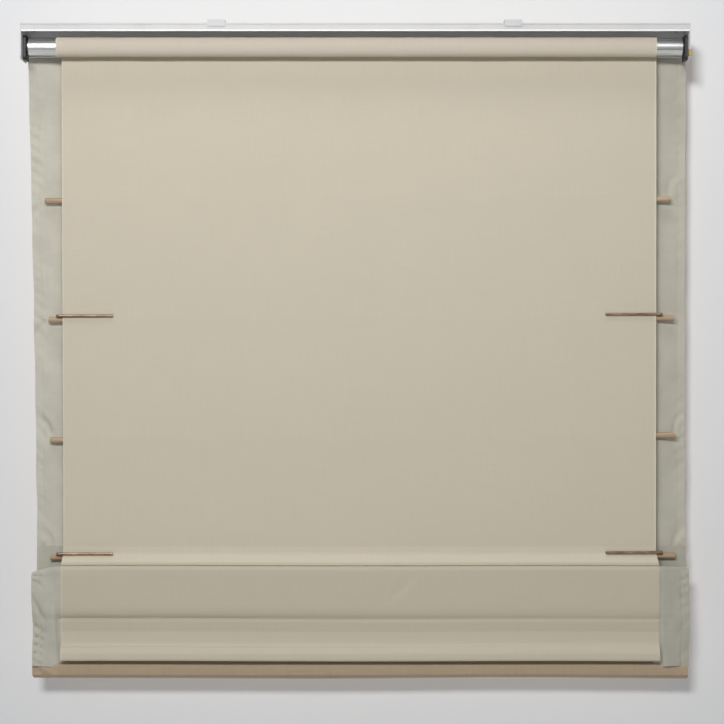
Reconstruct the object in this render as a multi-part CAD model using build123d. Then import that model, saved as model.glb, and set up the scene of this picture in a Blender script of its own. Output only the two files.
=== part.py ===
from build123d import *
import math
import os

# Flat-fold roman blind, lifted by a full-width backing sheet that winds on a spring roller.
# Millimetres. +X runs along the headrail, +Y points into the room, +Z is up.
# The origin is midway between the two ceiling screws, on the top face of the mounting clips.

# ---- headrail ----
RAIL_LENGTH = 914.0
RAIL_DEPTH = 52.0
RAIL_WALL = 1.4
RAIL_REAR_HEIGHT = 11.5         # window-side flange, down to the underside of its bead
RAIL_FRONT_HEIGHT = 41.0        # room-side wall
RAIL_BEAD_HEIGHT = 3.3
RAIL_BEAD_DEPTH = 4.0
RAIL_CORNER_RADIUS = 1.6
STIFFENER_DROP = 20.0           # stiffening rib inside the front wall, below the rail's top
STIFFENER_SIZE = 1.6
GROOVE_DROP = 3.0               # snap grooves of the clips, centre below the rail's top
GROOVE_HEIGHT = 1.9
GROOVE_DEPTH = 0.8

# ---- mounting clips ----
CLIP_X = (-190.0, 216.0)        # where the two clips sit along the rail, from the rail's middle
CLIP_WIDTH = 24.0
CLIP_SHEET = 1.5
CLIP_RISE = 4.0                 # ceiling face above the rail's top
CLIP_LEG = 5.0                  # how far the legs reach down the rail's sides
CLIP_BARB = 0.7
CLIP_BARB_HEIGHT = 1.5
CLIP_CLEARANCE = 0.05
CEILING_SCREW_HOLE_RADIUS = 2.25

# ---- end brackets ----
BRACKET_SHEET = 1.5
BRACKET_HEIGHT = 49.5
BRACKET_CORNER_RADIUS = 6.0
BRACKET_TAB_LENGTH = 24.0
BRACKET_TAB_WIDTH = 30.0
BRACKET_SCREW_INSET = 13.0
BRACKET_SCREW_SPACING = 18.0
SCREW_RADIUS = 1.5
SCREW_HEAD_RADIUS = 3.0
SCREW_HEAD_HEIGHT = 1.7
SCREW_LENGTH = 8.0
SCREW_CLEARANCE = 0.05
CATCH_LENGTH = 9.0              # brass catch on the edge of the right bracket
CATCH_DROP = 40.5               # its middle below the rail's top
CATCH_SHEET = 0.8
CATCH_REACH = 7.0
CATCH_CLEARANCE = 0.03

# ---- roller ----
ROLLER_DROP = 29.0              # roller axis below the rail's top
SHEET_MARGIN = 38.5             # bare tube beyond each edge of the sheet
TUBE_RADIUS = 12.0
TUBE_WALL = 1.0
WOUND_THICKNESS = 1.5           # turns of sheet left on the tube when the blind is down
WOUND_SHIFT = 2.8
PLUG_FLANGE = 2.2
PLUG_LENGTH = 20.0
PRESS_CLEARANCE = 0.03
RUNNING_CLEARANCE = 0.1
END_PLAY = 0.3
PIN_RADIUS = 3.0
PIN_GRIP = 16.0                 # length of the idle pin inside its plug
PIN_REACH = 3.0                 # depth of the bores in the two sockets
CORE_RADIUS = 3.5
CORE_LENGTH = 210.0
SPRING_LENGTH = 150.0
SPRING_INNER_RADIUS = 6.0
SPRING_WIRE = 1.4
ANCHOR_LENGTH = 14.0
IDLE_SOCKET_DEPTH = 4.0
MOTOR_SOCKET_DEPTH = 4.0
SOCKET_RISE = 14.5              # socket above the roller axis
SOCKET_FALL = 19.5              # socket below the roller axis
SOCKET_WIDTH = 30.0
SOCKET_CORNER_RADIUS = 5.0

# ---- cloth ----
CLOTH = 0.8
CLOTH_GAP = 0.3
SHEET_SHIFT = 5.5
SHADE_MARGIN = 1.0              # shade's edge inside the rail's end
SHADE_SHIFT = 5.0
SPLIT_RISE = 14.0               # top of the lowest pleat, above the fourth rib
TAPE_THICKNESS = 1.7
TAPE_HEIGHT = 20.0
TAPE_DROP = 9.0
TAPE_INSET = 8.0

# ---- ribs ----
HEAD_TO_RIB = 239.0
RIB_PITCH = 165.0
HANGING_RIBS = 4
ROD_RADIUS = 4.0
ROD_INSET = 22.0                # rod's end inside the shade's edge
ROD_CHAMFER = 0.5
ROD_SHIFTS = (3.0, 8.0, 10.0, 10.5, 10.0, 10.0)
ROD_TILTS = (0.14, 0.18, 0.45, 0.16, 0.0, 0.0)      # degrees, right end up
POCKET_WALL = 0.8
POCKET_CLEARANCE = 0.3
POCKET_GAP = 20.0               # between a pocket and the tip of a retainer
POCKET_WING = 11.0              # sewn wings of a pocket, above and below the rod's axis

# ---- retainers ----
RETAINED_RIBS = (2, 4)
WIRE_RADIUS = 2.0
RETAINER_LENGTH = 80.0
RETAINER_OVERHANG = 9.0         # how far the bend stands out past the sheet's edge
WIRE_SEAT = 0.05
WIRE_END_FILLET = 1.0

# ---- lowest pleat and bottom bar ----
LOWER_LOOP_DROP = 162.0         # axis of the lower loop below the fourth rib
CREST_DROP = 19.0               # axis of the upper fold below the fourth rib
SHEET_BEND_DROP = 0.0           # where the sheet leaves its plane, below the fourth rib
SHEET_BEND_RADIUS = 4.0
SHADE_HEM_DROP = 150.5
BAR_HEIGHT = 11.8
BAR_THICKNESS = 5.0
BAR_INSET = 8.0                 # bar's end inside the sheet's edge
BAR_CORNER_RADIUS = 1.9
BAR_CAP = 3.0
BAR_CAP_GAP = 0.02
TUNNEL_BOTTOM_DROP = 142.5      # underside of the bar's tunnel below the fourth rib

# ---- places that follow from the sizes ----
rail_top = -CLIP_RISE
rail_rear = -RAIL_DEPTH / 2
rail_front = RAIL_DEPTH / 2
roller_z = rail_top - ROLLER_DROP
roll_radius = TUBE_RADIUS + WOUND_THICKNESS
layer = CLOTH + CLOTH_GAP
pocket_radius = ROD_RADIUS + POCKET_CLEARANCE + POCKET_WALL
loop_radius = pocket_radius + CLOTH_GAP + CLOTH / 2
lining_y = rail_front + 2 * TAPE_THICKNESS + CLOTH / 2
face_y = lining_y + layer
rib_y = lining_y - loop_radius
sheet_y = rib_y - loop_radius
roller_y = sheet_y - CLOTH / 2 - CLOTH_GAP - roll_radius
crest_y = rib_y - 2 * loop_radius - layer
rib_z = [rail_top - HEAD_TO_RIB - i * RIB_PITCH for i in range(HANGING_RIBS)]
last_rib_z = rib_z[-1]
loop_z = last_rib_z - LOWER_LOOP_DROP
crest_z = last_rib_z - CREST_DROP
split_z = last_rib_z + SPLIT_RISE
rib_places = [(rib_y, z) for z in rib_z] + [(rib_y, loop_z), (crest_y, crest_z)]
tube_left = -RAIL_LENGTH / 2 + IDLE_SOCKET_DEPTH + END_PLAY + PLUG_FLANGE
tube_right = RAIL_LENGTH / 2 - MOTOR_SOCKET_DEPTH - END_PLAY - PLUG_FLANGE
sheet_width = tube_right - tube_left - 2 * SHEET_MARGIN
shade_width = RAIL_LENGTH - 2 * SHADE_MARGIN
rod_length = shade_width - 2 * ROD_INSET
pocket_length = sheet_width - 2 * (RETAINER_LENGTH - RETAINER_OVERHANG + POCKET_GAP)
bar_length = sheet_width - 2 * BAR_INSET
origin_x = sum(CLIP_X) / 2

nodes = {}


def along_x(section, length, middle=0.0):
    """Run a section, drawn with Y across and Z up, along the rail."""
    return Pos(middle, 0, 0) * extrude(Plane.YZ * section, amount=length / 2, both=True)


def block(x, y, z):
    """A box between two values on each axis."""
    size = [hi - lo for lo, hi in (x, y, z)]
    middle = [(hi + lo) / 2 for lo, hi in (x, y, z)]
    return Pos(*middle) * Box(*size)


def rod(x, radius, y=roller_y, z=roller_z):
    """A cylinder along X between two values of x."""
    return Pos(sum(x) / 2, y, z) * Rot(0, 90, 0) * Cylinder(radius, x[1] - x[0])


def cloth(edges):
    """The section of a cloth whose centreline is these edges."""
    return trace(edges, line_width=CLOTH)


# ---- fixed head ----
def rail_section():
    rear = Pos(rail_rear + RAIL_WALL / 2, rail_top - RAIL_REAR_HEIGHT / 2)
    front = Pos(rail_front - RAIL_WALL / 2, rail_top - RAIL_FRONT_HEIGHT / 2)
    section = Pos(0, rail_top - RAIL_WALL / 2) * Rectangle(RAIL_DEPTH, RAIL_WALL)
    section += rear * Rectangle(RAIL_WALL, RAIL_REAR_HEIGHT)
    section += front * Rectangle(RAIL_WALL, RAIL_FRONT_HEIGHT)
    corners = [v for v in section.vertices() if abs(v.Y - rail_top) < 1e-6]
    section = fillet(corners, RAIL_CORNER_RADIUS)
    bead_z = rail_top - RAIL_REAR_HEIGHT + RAIL_BEAD_HEIGHT / 2
    bead = RectangleRounded(RAIL_BEAD_DEPTH, RAIL_BEAD_HEIGHT, RAIL_BEAD_HEIGHT / 3)
    section += Pos(rail_rear + RAIL_BEAD_DEPTH / 2, bead_z) * bead
    return_z = rail_top - RAIL_FRONT_HEIGHT + RAIL_WALL / 2
    return_y = rail_front - RAIL_BEAD_DEPTH / 2
    section += Pos(return_y, return_z) * Rectangle(RAIL_BEAD_DEPTH, RAIL_WALL)
    rib_centre = rail_front - RAIL_WALL - STIFFENER_SIZE / 2
    stiffener = Rectangle(STIFFENER_SIZE, STIFFENER_SIZE)
    section += Pos(rib_centre, rail_top - STIFFENER_DROP) * stiffener
    groove = Rectangle(2 * GROOVE_DEPTH, GROOVE_HEIGHT)
    for y in (rail_rear, rail_front):
        section -= Pos(y, rail_top - GROOVE_DROP) * groove
    return section


def bracket_screw_places(side):
    x = side * (RAIL_LENGTH / 2 - BRACKET_SCREW_INSET)
    return [(x, row * BRACKET_SCREW_SPACING / 2) for row in (-1, 1)]


def headrail():
    rail = along_x(rail_section(), RAIL_LENGTH)
    hole = Cylinder(SCREW_RADIUS + SCREW_CLEARANCE, 4 * RAIL_WALL)
    for side in (-1, 1):
        for x, y in bracket_screw_places(side):
            rail -= Pos(x, y, rail_top) * hole
    return rail


def mounting_clip(x):
    inner = RAIL_DEPTH / 2 + CLIP_CLEARANCE
    leg_bottom = rail_top - CLIP_LEG
    plate = block((-CLIP_WIDTH / 2, CLIP_WIDTH / 2), (-inner, inner), (-CLIP_SHEET, 0))
    barb_z = rail_top - GROOVE_DROP
    for side in (-1, 1):
        leg_y = sorted((side * inner, side * (inner + CLIP_SHEET)))
        barb_y = sorted((side * inner, side * (inner - CLIP_BARB)))
        half = CLIP_BARB_HEIGHT / 2
        plate += block((-CLIP_WIDTH / 2, CLIP_WIDTH / 2), leg_y, (leg_bottom, 0))
        plate += block((-CLIP_WIDTH / 2, CLIP_WIDTH / 2), barb_y, (barb_z - half, barb_z + half))
    plate -= Cylinder(CEILING_SCREW_HOLE_RADIUS, 4 * CLIP_SHEET)
    return Pos(x, 0, 0) * plate


def end_bracket(side):
    inner = RAIL_LENGTH / 2
    bottom = rail_top - BRACKET_HEIGHT
    plate = Pos(0, (rail_top + bottom) / 2) * Rectangle(RAIL_DEPTH, BRACKET_HEIGHT)
    plate = fillet([v for v in plate.vertices() if v.Y < bottom + 1], BRACKET_CORNER_RADIUS)
    middle = side * (inner + BRACKET_SHEET / 2)
    bracket = along_x(plate, BRACKET_SHEET, middle)
    tab_x = sorted((side * inner, side * (inner - BRACKET_TAB_LENGTH)))
    tab_top = rail_top - RAIL_WALL
    half = BRACKET_TAB_WIDTH / 2
    bracket += block(tab_x, (-half, half), (tab_top - BRACKET_SHEET, tab_top))
    hole = Cylinder(SCREW_RADIUS + SCREW_CLEARANCE, 4 * BRACKET_SHEET)
    for x, y in bracket_screw_places(side):
        bracket -= Pos(x, y, tab_top - BRACKET_SHEET / 2) * hole
    return bracket


def bracket_screws():
    screws = Part()
    head = Pos(0, 0, SCREW_HEAD_HEIGHT / 2) * Cylinder(SCREW_HEAD_RADIUS, SCREW_HEAD_HEIGHT)
    shank = Pos(0, 0, -SCREW_LENGTH / 2) * Cylinder(SCREW_RADIUS, SCREW_LENGTH)
    for side in (-1, 1):
        for x, y in bracket_screw_places(side):
            screws += Pos(x, y, rail_top) * (head + shank)
    return screws


def bracket_catch():
    """A brass strip folded round the window-side edge of the right bracket."""
    inner = BRACKET_SHEET / 2 + CATCH_CLEARANCE
    outer = inner + CATCH_SHEET
    edge = rail_rear - CATCH_CLEARANCE
    half = CATCH_LENGTH / 2
    whole = block((-outer, outer), (edge - CATCH_SHEET, edge + CATCH_REACH), (-half, half))
    slot = block((-inner, inner), (edge, edge + CATCH_REACH + 1), (-half, half))
    middle = RAIL_LENGTH / 2 + BRACKET_SHEET / 2
    return Pos(middle, 0, rail_top - CATCH_DROP) * (whole - slot)


def tape(inner_y):
    """One half of the hook-and-loop strip, on the front wall of the rail."""
    top = rail_top - TAPE_DROP
    half = RAIL_LENGTH / 2 - TAPE_INSET
    return block((-half, half), (inner_y, inner_y + TAPE_THICKNESS), (top - TAPE_HEIGHT, top))


def socket(side, depth, bore_radius):
    """Black end socket: a block on the bracket with a blind bore for the roller's pin or core."""
    outer = side * RAIL_LENGTH / 2
    height = SOCKET_RISE + SOCKET_FALL
    outline = RectangleRounded(SOCKET_WIDTH, height, SOCKET_CORNER_RADIUS)
    place = Pos(roller_y, roller_z + (SOCKET_RISE - SOCKET_FALL) / 2)
    body = along_x(place * outline, depth, outer - side * depth / 2)
    mouth = outer - side * depth
    bore = sorted((mouth - side, mouth + side * PIN_REACH))
    return body - rod(bore, bore_radius)


def spring_motor():
    """The still parts of the motor: core rod, spring anchor and torsion spring."""
    core_end = tube_right - CORE_LENGTH
    core = rod((core_end, tube_right + PLUG_FLANGE + END_PLAY + PIN_REACH), CORE_RADIUS)
    anchor_right = tube_right - PLUG_LENGTH - END_PLAY
    anchor_x = (anchor_right - ANCHOR_LENGTH, anchor_right)
    anchor = rod(anchor_x, SPRING_INNER_RADIUS - PRESS_CLEARANCE)
    anchor -= rod(anchor_x, CORE_RADIUS + PRESS_CLEARANCE)
    spring_x = (anchor_right - SPRING_LENGTH, anchor_right)
    spring = rod(spring_x, SPRING_INNER_RADIUS + SPRING_WIRE) - rod(spring_x, SPRING_INNER_RADIUS)
    return core, anchor, spring


# ---- roller ----
def tube_plug(side, bore_radius, flange=True):
    """A plug in the tube's end, with a flange that covers the tube's wall."""
    end = tube_left if side < 0 else tube_right
    body = rod(sorted((end, end - side * PLUG_LENGTH)), TUBE_RADIUS - TUBE_WALL - PRESS_CLEARANCE)
    body += rod(sorted((end, end + side * PLUG_FLANGE)), TUBE_RADIUS)
    return body - rod(sorted((end - side * (PLUG_LENGTH + 1), end + side * (PLUG_FLANGE + 1))), bore_radius)


def drive_plug():
    """Turns with the tube and winds the far end of the spring."""
    spring_left = tube_right - PLUG_LENGTH - END_PLAY - SPRING_LENGTH
    x = (spring_left - END_PLAY - PLUG_LENGTH, spring_left - END_PLAY)
    body = rod(x, TUBE_RADIUS - TUBE_WALL - PRESS_CLEARANCE)
    return body - rod(x, CORE_RADIUS + RUNNING_CLEARANCE)


# ---- ribs ----
def at_rib(number, piece):
    """Put a piece, drawn about the rod's own middle, at its rib."""
    y, z = rib_places[number - 1]
    return Pos(ROD_SHIFTS[number - 1], y, z) * Rot(0, -ROD_TILTS[number - 1], 0) * piece


def rib_rod():
    bar = Rot(0, 90, 0) * Cylinder(ROD_RADIUS, rod_length)
    return chamfer(bar.edges().filter_by(GeomType.CIRCLE), ROD_CHAMFER)


def rib_pocket(middle, winged):
    """A tunnel of cloth round the rod; a winged one lies flat against the lining."""
    ring = Circle(pocket_radius)
    if winged:
        ring += Pos(pocket_radius - POCKET_WALL / 2, 0) * Rectangle(POCKET_WALL, 2 * POCKET_WING)
    ring -= Circle(ROD_RADIUS + POCKET_CLEARANCE)
    return along_x(ring, pocket_length, middle)


def retainer(side, shift):
    """A wire bent round the sheet's edge: one leg in front of the sheet, one on top of the rod."""
    leg = CLOTH / 2 + CLOTH_GAP + WIRE_RADIUS
    front = sheet_y - rib_y - leg
    back = sheet_y - rib_y + leg
    seat = ROD_RADIUS + WIRE_RADIUS + WIRE_SEAT
    height = math.sqrt(seat ** 2 - back ** 2)
    edge = SHEET_SHIFT - shift + side * sheet_width / 2
    end = edge + side * RETAINER_OVERHANG
    bend = end - side * (leg + WIRE_RADIUS)
    tip = end - side * RETAINER_LENGTH
    path = Line((tip, front, height), (bend, front, height))
    path += ThreePointArc((bend, front, height), (bend + side * leg, (front + back) / 2, height),
                          (bend, back, height))
    path += Line((bend, back, height), (tip, back, height))
    start = Plane((tip, front, height), z_dir=(side, 0, 0))
    wire = sweep(start * Circle(WIRE_RADIUS), path=path)
    ends = [e for e in wire.edges().filter_by(GeomType.CIRCLE) if abs(e.center().X - tip) < 1e-3]
    return fillet(ends, WIRE_END_FILLET)


# ---- cloth ----
def hanging_cloth(y, top, width, shift):
    return along_x(cloth([Line((y, top), (y, split_z))]), width, shift)


def folded_cloth(offset):
    """The lowest pleat of the shade: down, round the lower loop, up, over the crest and down again.
    offset is the distance outside the lining at the loop, and so inside it at the crest."""
    loop = loop_radius + offset
    crest = loop_radius + layer - offset
    top = split_z - CLOTH_GAP
    hem = last_rib_z - SHADE_HEM_DROP
    edges = [
        Line((rib_y + loop, top), (rib_y + loop, loop_z)),
        ThreePointArc((rib_y + loop, loop_z), (rib_y, loop_z - loop), (rib_y - loop, loop_z)),
        Line((rib_y - loop, loop_z), (rib_y - loop, crest_z)),
        ThreePointArc((crest_y + crest, crest_z), (crest_y, crest_z + crest), (crest_y - crest, crest_z)),
        Line((crest_y - crest, crest_z), (crest_y - crest, hem)),
    ]
    return along_x(cloth(edges), shade_width, SHADE_SHIFT)


def folded_sheet():
    """The sheet leaves its plane, passes over the crest and ends in the bar's tunnel."""
    over = loop_radius + 2 * layer
    panel_y = crest_y - over
    bend_z = last_rib_z - SHEET_BEND_DROP
    width = sheet_y - panel_y
    tangent = math.sqrt((sheet_y - crest_y) ** 2 + (bend_z - crest_z) ** 2 - over ** 2)
    reach = tangent + bend_z - crest_z
    corner_z = bend_z - (reach ** 2 - width ** 2) / (2 * reach)
    tunnel_width = BAR_THICKNESS + 2 * (CLOTH + CLOTH_GAP)
    tunnel_height = BAR_HEIGHT + 2 * (CLOTH + CLOTH_GAP)
    tunnel_z = last_rib_z - TUNNEL_BOTTOM_DROP + tunnel_height / 2
    tunnel_y = panel_y + CLOTH / 2 - tunnel_width / 2
    line = FilletPolyline((sheet_y, split_z - CLOTH_GAP), (sheet_y, bend_z), (panel_y, corner_z),
                          (panel_y, tunnel_z), radius=[SHEET_BEND_RADIUS, over])
    section = cloth(line.edges())
    outer = RectangleRounded(tunnel_width, tunnel_height, BAR_CORNER_RADIUS + CLOTH + CLOTH_GAP)
    inner = RectangleRounded(tunnel_width - 2 * CLOTH, tunnel_height - 2 * CLOTH,
                             BAR_CORNER_RADIUS + CLOTH_GAP)
    section += Pos(tunnel_y, tunnel_z) * outer
    section -= Pos(tunnel_y, tunnel_z) * inner
    return along_x(section, sheet_width, SHEET_SHIFT), (tunnel_y, tunnel_z)


def bar_piece(place, x):
    outline = Pos(*place) * RectangleRounded(BAR_THICKNESS, BAR_HEIGHT, BAR_CORNER_RADIUS)
    return along_x(outline, x[1] - x[0], sum(x) / 2)


def build():
    nodes["headrail"] = headrail()
    for name, x in zip(("left", "right"), CLIP_X):
        nodes[f"mounting_clip_{name}"] = mounting_clip(x)
    nodes["bracket_screws"] = bracket_screws()
    nodes["bracket_catch"] = bracket_catch()
    nodes["hook_strip"] = tape(rail_front)
    nodes["loop_strip"] = tape(rail_front + TAPE_THICKNESS)

    nodes["idle_socket"] = socket(-1, IDLE_SOCKET_DEPTH, PIN_RADIUS + RUNNING_CLEARANCE)
    nodes["motor_socket"] = socket(1, MOTOR_SOCKET_DEPTH, CORE_RADIUS + PRESS_CLEARANCE)
    nodes["motor_core"], nodes["spring_anchor"], nodes["torsion_spring"] = spring_motor()

    tube_x = (tube_left, tube_right)
    wound_x = (WOUND_SHIFT - sheet_width / 2, WOUND_SHIFT + sheet_width / 2)
    nodes["roller_tube"] = rod(tube_x, TUBE_RADIUS) - rod(tube_x, TUBE_RADIUS - TUBE_WALL)
    nodes["wound_turns"] = rod(wound_x, roll_radius) - rod(wound_x, TUBE_RADIUS + PRESS_CLEARANCE)
    nodes["idle_plug"] = tube_plug(-1, PIN_RADIUS + PRESS_CLEARANCE)
    pin_x = (tube_left - PLUG_FLANGE - PIN_REACH, tube_left + PIN_GRIP)
    nodes["idle_pin"] = rod(pin_x, PIN_RADIUS)
    nodes["bearing_sleeve"] = tube_plug(1, CORE_RADIUS + RUNNING_CLEARANCE)
    nodes["drive_plug"] = drive_plug()

    nodes["backing_sheet"] = hanging_cloth(sheet_y, roller_z, sheet_width, SHEET_SHIFT)
    nodes["lining"] = hanging_cloth(lining_y, rail_top, shade_width, SHADE_SHIFT)
    nodes["face_fabric"] = hanging_cloth(face_y, rail_top, shade_width, SHADE_SHIFT)

    for number in range(1, len(rib_places) + 1):
        shift = ROD_SHIFTS[number - 1]
        winged = number <= HANGING_RIBS
        nodes[f"rib_rod_{number}"] = at_rib(number, rib_rod())
        nodes[f"rib_pocket_{number}"] = at_rib(number, rib_pocket(SHEET_SHIFT - shift, winged))
    for number in RETAINED_RIBS:
        for name, side in (("left", -1), ("right", 1)):
            wire = retainer(side, ROD_SHIFTS[number - 1])
            nodes[f"retainer_{number}_{name}"] = at_rib(number, wire)

    nodes["lining_pleat"] = folded_cloth(0.0)
    nodes["face_pleat"] = folded_cloth(layer)
    nodes["backing_pleat"], bar_place = folded_sheet()
    bar_left, bar_right = SHEET_SHIFT - bar_length / 2, SHEET_SHIFT + bar_length / 2
    nodes["bottom_bar"] = bar_piece(bar_place, (bar_left, bar_right))
    left_cap = (bar_left - BAR_CAP_GAP - BAR_CAP, bar_left - BAR_CAP_GAP)
    right_cap = (bar_right + BAR_CAP_GAP, bar_right + BAR_CAP_GAP + BAR_CAP)
    nodes["bar_cap_left"] = bar_piece(bar_place, left_cap)
    nodes["bar_cap_right"] = bar_piece(bar_place, right_cap)

    for name, side in (("left", -1), ("right", 1)):
        nodes[f"end_bracket_{name}"] = end_bracket(side)


build()
os.makedirs("parts", exist_ok=True)
for node, solid in nodes.items():
    export_step(Pos(-origin_x, 0, 0) * solid, f"parts/{node}.step")
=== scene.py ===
import bpy
import math
import numpy as np
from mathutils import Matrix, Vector


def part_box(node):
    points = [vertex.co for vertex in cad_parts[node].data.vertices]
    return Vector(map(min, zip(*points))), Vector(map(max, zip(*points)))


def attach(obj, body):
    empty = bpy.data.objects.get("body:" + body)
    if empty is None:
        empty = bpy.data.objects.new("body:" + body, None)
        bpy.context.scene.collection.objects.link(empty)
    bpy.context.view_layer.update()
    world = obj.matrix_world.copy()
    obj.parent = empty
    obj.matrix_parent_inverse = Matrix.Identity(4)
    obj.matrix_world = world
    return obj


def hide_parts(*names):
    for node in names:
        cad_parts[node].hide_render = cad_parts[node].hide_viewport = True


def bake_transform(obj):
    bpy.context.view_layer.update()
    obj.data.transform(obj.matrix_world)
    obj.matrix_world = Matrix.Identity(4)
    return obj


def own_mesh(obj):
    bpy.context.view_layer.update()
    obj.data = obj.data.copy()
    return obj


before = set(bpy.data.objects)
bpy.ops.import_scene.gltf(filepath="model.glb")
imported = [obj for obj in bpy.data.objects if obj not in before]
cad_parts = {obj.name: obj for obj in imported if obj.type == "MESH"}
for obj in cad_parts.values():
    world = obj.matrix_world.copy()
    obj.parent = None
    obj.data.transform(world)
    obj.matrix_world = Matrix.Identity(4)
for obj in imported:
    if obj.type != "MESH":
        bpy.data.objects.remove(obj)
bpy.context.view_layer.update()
MM = 0.001

# ---------------------------------------------------------------- places, from the frame


def middle(node):
    lo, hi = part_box(node)
    return (lo + hi) / 2


def size(node):
    lo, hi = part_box(node)
    return hi - lo


def sideways(node):
    lo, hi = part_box(node)
    return lo.x, hi.x


rods = [middle(f"rib_rod_{i}") for i in range(1, 7)]
rod_radius = size("rib_rod_5").z / 2
cloth_thickness = size("lining").y
sheet_y = middle("backing_sheet").y
sheet_x = sideways("backing_sheet")
shade_x = sideways("lining")
lining_y = middle("lining").y
face_y = middle("face_fabric").y
split_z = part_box("lining")[0].z        # the hanging cloth ends and the lowest pleat begins here
shade_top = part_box("lining")[1].z
sheet_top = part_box("backing_sheet")[1].z
sheet_width = sheet_x[1] - sheet_x[0]
shade_width = shade_x[1] - shade_x[0]
roller = middle("roller_tube")
tube_radius = size("roller_tube").z / 2
roll_x = sideways("wound_turns")
pleat_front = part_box("lining_pleat")[0].y
bar = middle("bottom_bar")
bar_size = size("bottom_bar")

# ---------------------------------------------------------------- node helpers


class Nodes:
    """A material's node tree, with short calls for the nodes that every surface here uses."""

    def __init__(self, name):
        self.material = bpy.data.materials.new(name)
        self.material.use_nodes = True
        self.tree = self.material.node_tree
        self.tree.nodes.clear()
        self.shader = self.add("ShaderNodeBsdfPrincipled")
        output = self.add("ShaderNodeOutputMaterial")
        self.tree.links.new(self.shader.outputs[0], output.inputs["Surface"])

    def add(self, kind, **settings):
        node = self.tree.nodes.new(kind)
        for key, value in settings.items():
            setattr(node, key, value)
        return node

    def link(self, value, socket):
        if isinstance(value, bpy.types.NodeSocket):
            self.tree.links.new(value, socket)
        else:
            socket.default_value = value

    def math(self, operation, a, b=0.0, c=0.0):
        node = self.add("ShaderNodeMath", operation=operation)
        for value, socket in zip((a, b, c), node.inputs):
            self.link(value, socket)
        return node.outputs[0]

    def position(self, uv=False):
        source = self.add("ShaderNodeTexCoord")
        return source.outputs["UV" if uv else "Object"]

    def split(self, vector):
        node = self.add("ShaderNodeSeparateXYZ")
        self.link(vector, node.inputs[0])
        return node.outputs

    def scaled(self, vector, scale):
        node = self.add("ShaderNodeMapping")
        self.link(vector, node.inputs["Vector"])
        node.inputs["Scale"].default_value = scale
        return node.outputs[0]

    def noise(self, vector, scale=1.0, detail=3.0, roughness=0.55):
        node = self.add("ShaderNodeTexNoise")
        self.link(vector, node.inputs["Vector"])
        node.inputs["Scale"].default_value = scale
        node.inputs["Detail"].default_value = detail
        node.inputs["Roughness"].default_value = roughness
        return node.outputs[0]

    def ramp(self, value, stops):
        node = self.add("ShaderNodeValToRGB")
        self.link(value, node.inputs[0])
        elements = node.color_ramp.elements
        while len(elements) < len(stops):
            elements.new(0.5)
        for element, (place, colour) in zip(elements, stops):
            element.position = place
            element.color = (*colour, 1.0)
        return node.outputs[0]

    def range(self, value, low, high, to_low=0.0, to_high=1.0, smooth=False):
        node = self.add("ShaderNodeMapRange")
        if smooth:
            node.interpolation_type = "SMOOTHSTEP"
        for socket, number in zip(node.inputs, (value, low, high, to_low, to_high)):
            self.link(number, socket)
        return node.outputs[0]

    def mix(self, share, a, b, kind="MIX"):
        node = self.add("ShaderNodeMix", data_type="RGBA", blend_type=kind)
        inputs = [s for s in node.inputs if s.type == "RGBA"]
        self.link(share, node.inputs["Factor"])
        self.link(a if not isinstance(a, tuple) else (*a, 1.0), inputs[0])
        self.link(b if not isinstance(b, tuple) else (*b, 1.0), inputs[1])
        return [s for s in node.outputs if s.type == "RGBA"][0]

    def bump(self, height, distance, strength=1.0):
        node = self.add("ShaderNodeBump")
        node.inputs["Strength"].default_value = strength
        node.inputs["Distance"].default_value = distance
        self.link(height, node.inputs["Height"])
        self.link(node.outputs[0], self.shader.inputs["Normal"])

    def finish(self, colour, roughness, **constants):
        self.link(colour, self.shader.inputs["Base Color"])
        self.link(roughness, self.shader.inputs["Roughness"])
        for name, value in constants.items():
            self.shader.inputs[name.replace("_", " ")].default_value = value
        return self.material


def shade_of(colour, factor):
    return tuple(min(1.0, c * factor) for c in colour)


# ---------------------------------------------------------------- cloth materials


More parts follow.
